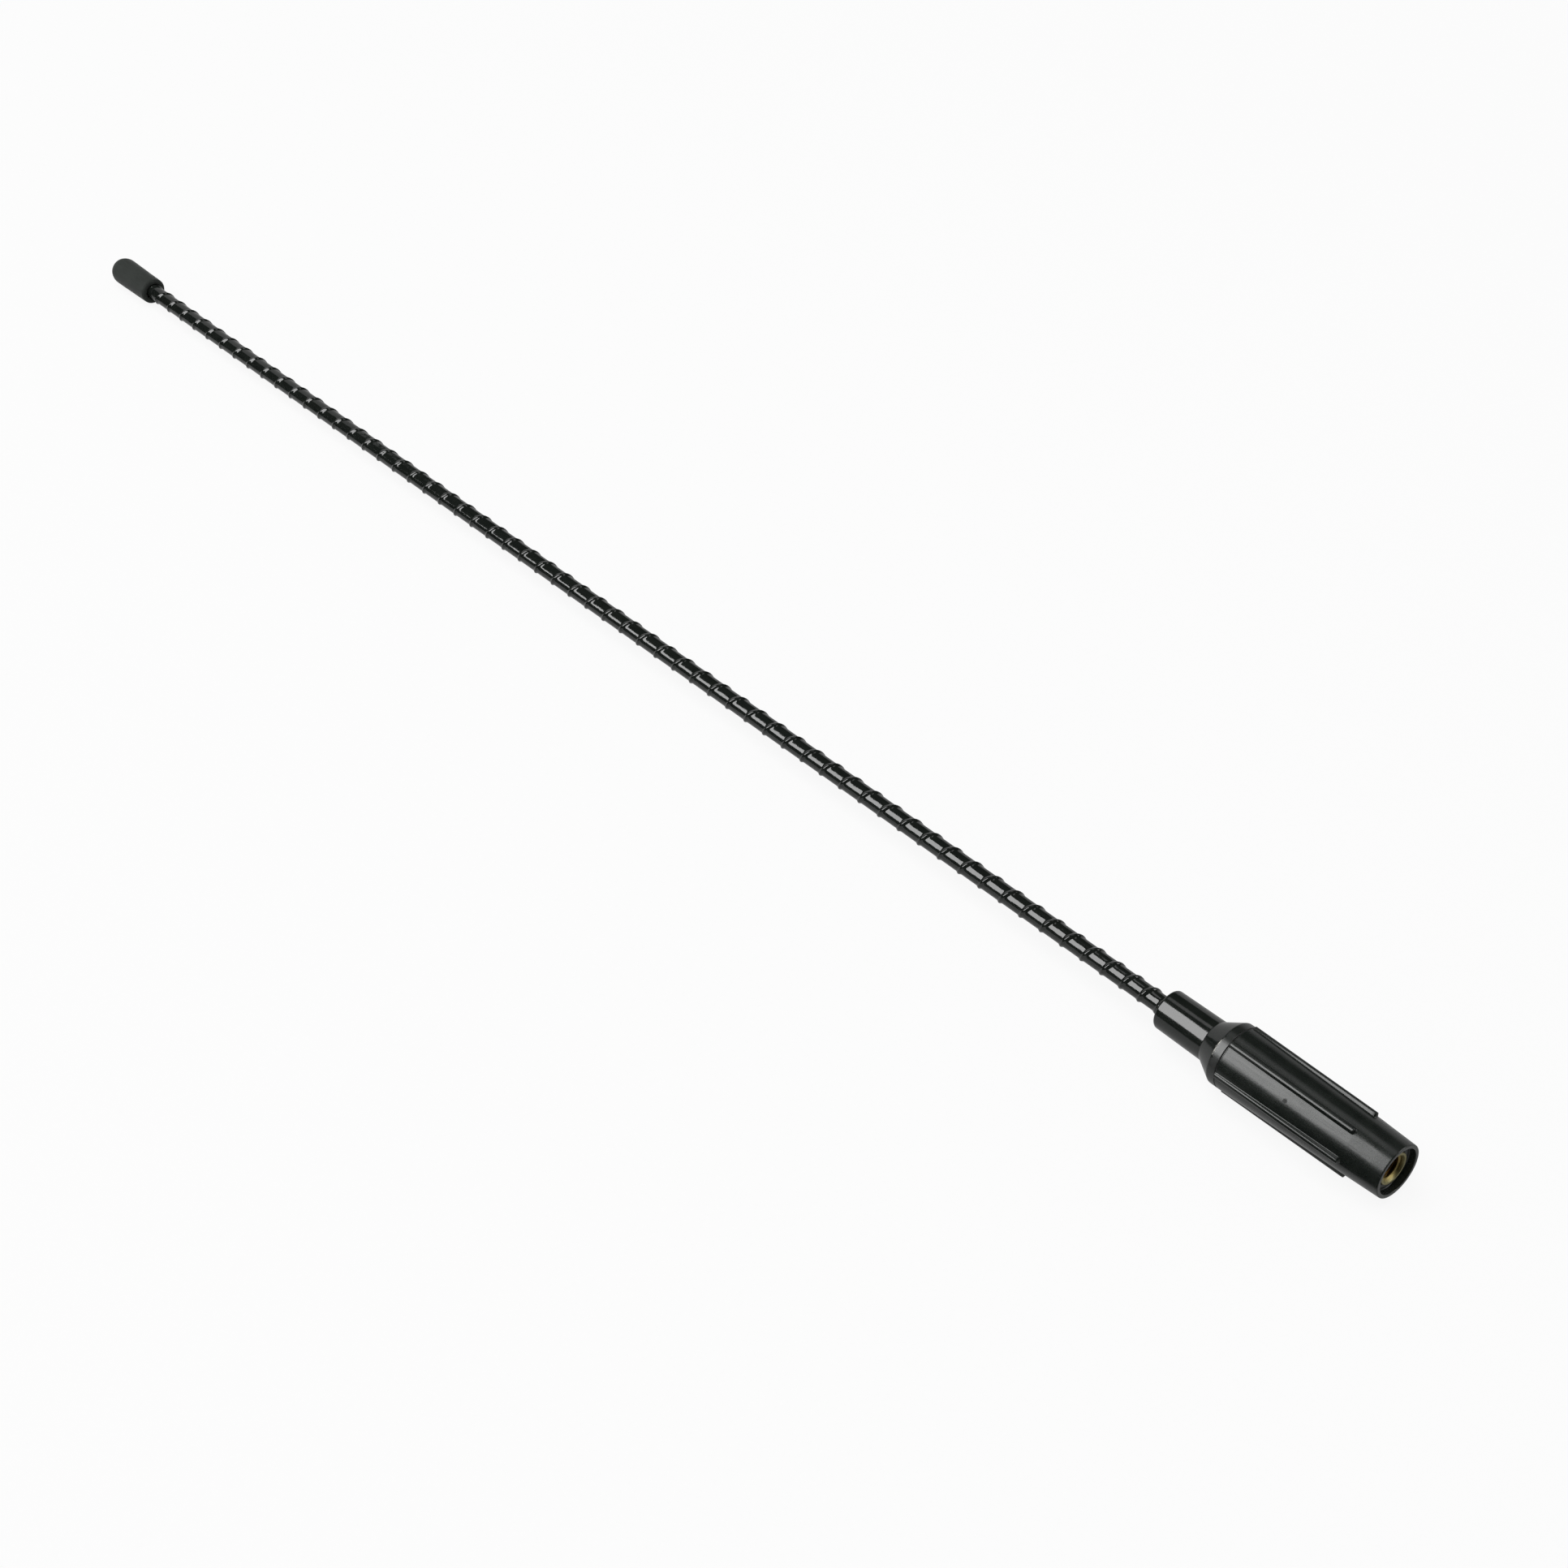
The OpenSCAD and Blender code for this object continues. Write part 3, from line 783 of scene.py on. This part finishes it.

# %% [markdown]
# The ferrule is turned from free-cutting brass. The tool leaves fine rings on its face, which a noise along
# the radius alone gives. The face's outer zone has tarnished, and the thread is painted dark brown deeper in
# the bore, a painted shade.

# %% Brass finish


def brass_finish():
    material, tree = start_material("turned brass")
    attribute = add(tree, "ShaderNodeAttribute", attribute_name="own_mm")
    parts = add(tree, "ShaderNodeSeparateXYZ", [("Vector", attribute.outputs["Vector"])])
    across = add(tree, "ShaderNodeCombineXYZ", [("X", parts.outputs[0]), ("Y", parts.outputs[1])])
    radius = length(tree, across.outputs[0])
    rings = add(tree, "ShaderNodeTexNoise", [("W", radius)], noise_dimensions="1D", Scale=14.0, Detail=3.0)
    rings = rings.outputs[0]
    clouds = noise(tree, own_coordinates(tree), 1.2)
    tarnish = remap(tree, radius, 2.3, 2.65, 0, 1)
    painted_bore_shade = remap(tree, parts.outputs[2], face_height + 0.5, face_height + 1.4, 0, 1)
    colour = two_tones(tree, clouds, (0.42, 0.34, 0.14), (0.36, 0.29, 0.12))
    colour = paint_over(tree, colour, tarnish, (0.30, 0.275, 0.145))
    # Painted shade: the thread turns dark brown deeper in the bore.
    colour = paint_over(tree, colour, painted_bore_shade, (0.16, 0.085, 0.02))
    show(tree, add(tree, "ShaderNodeBsdfPrincipled", [
        ("Base Color", colour),
        ("Roughness", remap(tree, rings, 0.3, 0.7, 0.42, 0.6)),
        ("Normal", bump(tree, rings, 0.35, 0.00003))], Metallic=1.0))
    return material


ferrule.data.materials.append(brass_finish())
print("brass finish made")

# %% [markdown]
# Rod, wire and solder are hidden under the skin and in the base. They keep their CAD shape and still get the
# finish of what they are, so that a cut-away view would look right. A CAD node has no attribute of its own
# frame, so these patterns read Object coordinates.

# %% Finishes inside


def inner_finish(name, tones, metallic, roughness, scale, stretch=(1, 1, 1)):
    """Two tones, an uneven gloss round that roughness and a fine bump, all from one noise."""
    material, tree = start_material(name)
    pattern = noise(tree, object_coordinates(tree, stretch), scale)
    show(tree, add(tree, "ShaderNodeBsdfPrincipled", [
        ("Base Color", two_tones(tree, pattern, *tones)),
        ("Roughness", remap(tree, pattern, 0.3, 0.7, roughness - 0.06, roughness + 0.06)),
        ("Normal", bump(tree, pattern, 0.2, 0.00003))], Metallic=metallic))
    return material


def refinish(node, material):
    """Gives every material slot of a CAD node the new finish."""
    slots = frame["nodes"][node].material_slots
    for slot in slots:
        slot.material = material
    print(node, "refinished in", len(slots), "slot")


along_the_rod = (0.05, 1, 1)
refinish("mast_rod", inner_finish(
    "glass fibre", ((0.62, 0.58, 0.42), (0.74, 0.70, 0.54)), 0.0, 0.45, 900, along_the_rod))
refinish("winding_wire", inner_finish(
    "enamelled copper", ((0.45, 0.16, 0.06), (0.56, 0.24, 0.09)), 1.0, 0.28, 700))
refinish("solder_joint", inner_finish(
    "bright solder", ((0.58, 0.59, 0.60), (0.68, 0.69, 0.70)), 1.0, 0.3, 1200))

# %% [markdown]
# The studio is a white table in a white room. A gloss black thing shows hardly any light of its own, only
# what it reflects, so the room matters as much as the lamps. Table and room are told what they show to the
# camera, what they show to reflections and what they give to the scattered light.

# %% Levels of the room
white, white_in_reflections, white_scattered = 1.0, 0.47, 0.30


def shown_level(tree):
    """Brightness by ray: white for the camera and through glass, less in reflections, least when scattered.

    Also a mask that is 1 for the camera, through glass and in reflections."""
    path = add(tree, "ShaderNodeLightPath")
    direct = math_node(tree, "MAXIMUM", path.outputs["Is Camera Ray"], path.outputs["Is Transmission Ray"])
    mirrored = remap(tree, path.outputs["Is Glossy Ray"], 0, 1, white_scattered, white_in_reflections)
    level = add(tree, "ShaderNodeMapRange", [("Value", direct), ("To Min", mirrored)], To_Max=white)
    return level.outputs[0], math_node(tree, "MAXIMUM", direct, path.outputs["Is Glossy Ray"])


print("the room shows", white_in_reflections, "of white in reflections")

# %% [markdown]
# The table is paper, and it keeps the aerial's shadow. So near the aerial it is nine parts even white and one
# part paper that the lamp lights. Farther off the paper's share fades, and the table runs into the room
# without a horizon.

# %% Table
table_reach, paper_near, paper_far = 6.0, 0.3, 1.5


def table_finish():
    """Even white and lit paper, mixed by the distance from the aerial's middle."""
    material, tree = start_material("white table")
    coordinates = object_coordinates(tree)
    paper = noise(tree, coordinates, 900.0, 2.0, 0.5)
    diffuse = add(tree, "ShaderNodeBsdfDiffuse", [
        ("Color", two_tones(tree, paper, (0.86, 0.86, 0.86), (0.90, 0.90, 0.90), 0.2))])
    level, direct = shown_level(tree)
    glow = add(tree, "ShaderNodeEmission", [("Strength", level)], Color=(1, 1, 1, 1))
    even = remap(tree, length(tree, coordinates.outputs[0]), paper_near, paper_far, 0.90, 1.0)
    show(tree, add(tree, "ShaderNodeMixShader", [
        (0, math_node(tree, "MULTIPLY", direct, even)), (1, diffuse.outputs[0]), (2, glow.outputs[0])]))
    return material


def stage_mesh(name, points, faces, material):
    """Flat mesh that belongs to the stage and not to the aerial."""
    mesh = bpy.data.meshes.new(name)
    mesh.from_pydata(points, [], faces)
    mesh.materials.append(material)
    prop = bpy.data.objects.new(name, mesh)
    bpy.context.scene.collection.objects.link(prop)
    return prop


table_corners = [(x * table_reach, y * table_reach, 0) for x, y in ((-1, -1), (1, -1), (1, 1), (-1, 1))]
stage_mesh("table", table_corners, [(0, 1, 2, 3)], table_finish())
print("table reaches", table_reach, "m each way")

# %% [markdown]
# A dark tent, seen by reflections alone, gives the black between the highlights. It is open low down on the
# far side, where the bright room gives the grey line along the mast's upper edge, and behind the camera. On
# the far side it also stops short of the tip's end: there the room shows as a soft grey sheen along the tip's
# back.

# %% Dark tent
tent_radius = 2.4


def dark_cloth():
    """Nearly black cloth that gives off a trace of light, so that it looks the same from every side."""
    material, tree = start_material("dark cloth")
    weave = noise(tree, object_coordinates(tree), 30.0, 2.0, 0.5)
    show(tree, add(tree, "ShaderNodeEmission", [
        ("Color", two_tones(tree, weave, (0.004, 0.0045, 0.004), (0.010, 0.011, 0.010), 0.2))], Strength=1.0))
    return material


def seen_by_reflections_only(prop):
    """Lets only glossy rays see it, so that it lights and shades nothing."""
    for kind in ("camera", "diffuse", "transmission", "volume_scatter", "shadow"):
        setattr(prop, "visible_" + kind, False)


def tent_part(name, first, last, far_end, near_end, walled):
    """Part of a cylinder along x, from one angle off overhead to another, with or without an end wall.

    Each rib of it lies at y = -radius * sin(angle), z = radius * cos(angle)."""
    angles = np.radians(np.linspace(first, last, 20))
    arc = [(-tent_radius * math.sin(a), tent_radius * math.cos(a)) for a in angles]
    points = [(x, y, z) for y, z in arc for x in (far_end, near_end)]
    faces = [(2 * k, 2 * k + 1, 2 * k + 3, 2 * k + 2) for k in range(len(arc) - 1)]
    if walled:
        faces.append([2 * k for k in range(len(arc))] + [len(points)])
        points.append((far_end, 0, 0))
    seen_by_reflections_only(stage_mesh(name, points, faces, dark_cloth()))
    print(name, "spans", last - first, "degrees")


tent_part("tent_far_side", -65, 5, -2.7, 5.0, False)
tent_part("tent_near_side", 5, 92, -5.0, 5.0, True)

# %% [markdown]
# The pale table lights the lower side of a gloss tube as a grey band. A black card beside the aerial keeps
# that band narrow, as a photographer would, and comes close to the sleeve. It too is seen by reflections
# alone.

# %% Black card
card_height, card_back = 0.0004, -0.5
card_edge = [(0.26, -0.0085), (0.180, -0.0085), (0.150, -0.032), (0.100, -0.026), (0.031, -0.016),
             (-0.163, -0.010), (-0.6, -0.008)]
card_outline = card_edge + [(card_edge[-1][0], card_back), (card_edge[0][0], card_back)]
card_points = [(x, y, card_height) for x, y in card_outline]
seen_by_reflections_only(stage_mesh("black_card", card_points, [range(len(card_points))], dark_cloth()))
print("card lies beside the aerial, with", len(card_points), "corners")

# %% [markdown]
# A round gloss thing shows a softbox as a stripe, and the stripe's edges are the softbox's edges. So its
# bearing and width set where the stripe lies round the mast, and its length where the stripe ends along it.
# The key panel is cut at a slant at its far end, so its stripe thins out towards the tip. The overhead one
# gives the faint second line, and the one on the far side gives the aerial's back a stripe too.

# %% Panels that reflections see


def panel(name, bearing, distance, corners, brightness):
    """Bright panel that faces the aerial.

    bearing is its angle from overhead towards the camera's side, in degrees. The corners are (x, across) in
    metres, where across runs over the panel from its middle line, downwards on the camera's side."""
    turn = math.radians(bearing)
    points = [(x, -distance * math.sin(turn) - across * math.cos(turn),
               distance * math.cos(turn) - across * math.sin(turn)) for x, across in corners]
    material, tree = start_material(name)
    show(tree, add(tree, "ShaderNodeEmission", Color=(1, 1, 1, 1), Strength=brightness))
    seen_by_reflections_only(stage_mesh(name, points, [range(len(points))], material))
    print(name, "shines at", brightness, "from", bearing, "degrees off overhead")


key_corners = [(-0.06, -0.46), (-0.60, -0.46), (-0.64, -0.20), (-1.03, 0.37), (-0.06, 0.39)]
overhead_corners = [(0.1, -0.155), (-0.46, -0.155), (-0.46, 0.155), (0.1, 0.155)]
far_side_corners = [(1.5, -0.25), (0.3, -0.25), (0.3, 0.25), (1.5, 0.25)]
panel("key_panel", 46.6, 0.9, key_corners, 6.1)
panel("overhead_panel", -11, 1.1, overhead_corners, 0.95)
panel("far_side_panel", -45, 0.9, far_side_corners, 3.0)

# %% [markdown]
# The scattered light comes from one broad lamp that no reflection sees, at the level at which a colour shows
# as it is written. It hangs over the camera's side and is turned to the aerial. Its energy follows from how
# bright its face is: pi * area * brightness.

# %% Broad lamp
lamp_place = (-0.2, -0.5, 1.5)
lamp_size, lamp_brightness = 1.6, 2.4
lamp_data = bpy.data.lights.new("broad_lamp", "AREA")
lamp_data.shape = "SQUARE"
lamp_data.size = lamp_size
lamp_data.energy = math.pi * lamp_size**2 * lamp_brightness
lamp = bpy.data.objects.new("broad_lamp", lamp_data)
lamp.location = lamp_place
lean_forward, lean_sideways = (math.atan2(off, lamp_place[2]) for off in (-lamp_place[1], lamp_place[0]))
lamp.rotation_euler = Euler((lean_forward, lean_sideways, 0))
lamp.visible_glossy = False
bpy.context.scene.collection.objects.link(lamp)
print("broad lamp has", round(lamp_data.energy, 1), "W")

# %% [markdown]
# The room round the table is the world. It takes the table's own levels, so the two meet unseen. The Standard
# view shows the colours as they are written.

# %% World
world = bpy.data.worlds.new("studio")
bpy.context.scene.world = world
world.use_nodes = True
sky = world.node_tree
sky.nodes.clear()
backdrop = add(sky, "ShaderNodeBackground", [("Strength", shown_level(sky)[0])], Color=(1, 1, 1, 1))
add(sky, "ShaderNodeOutputWorld", [("Surface", backdrop.outputs[0])])
bpy.context.scene.view_settings.view_transform = "Standard"
print("world made")
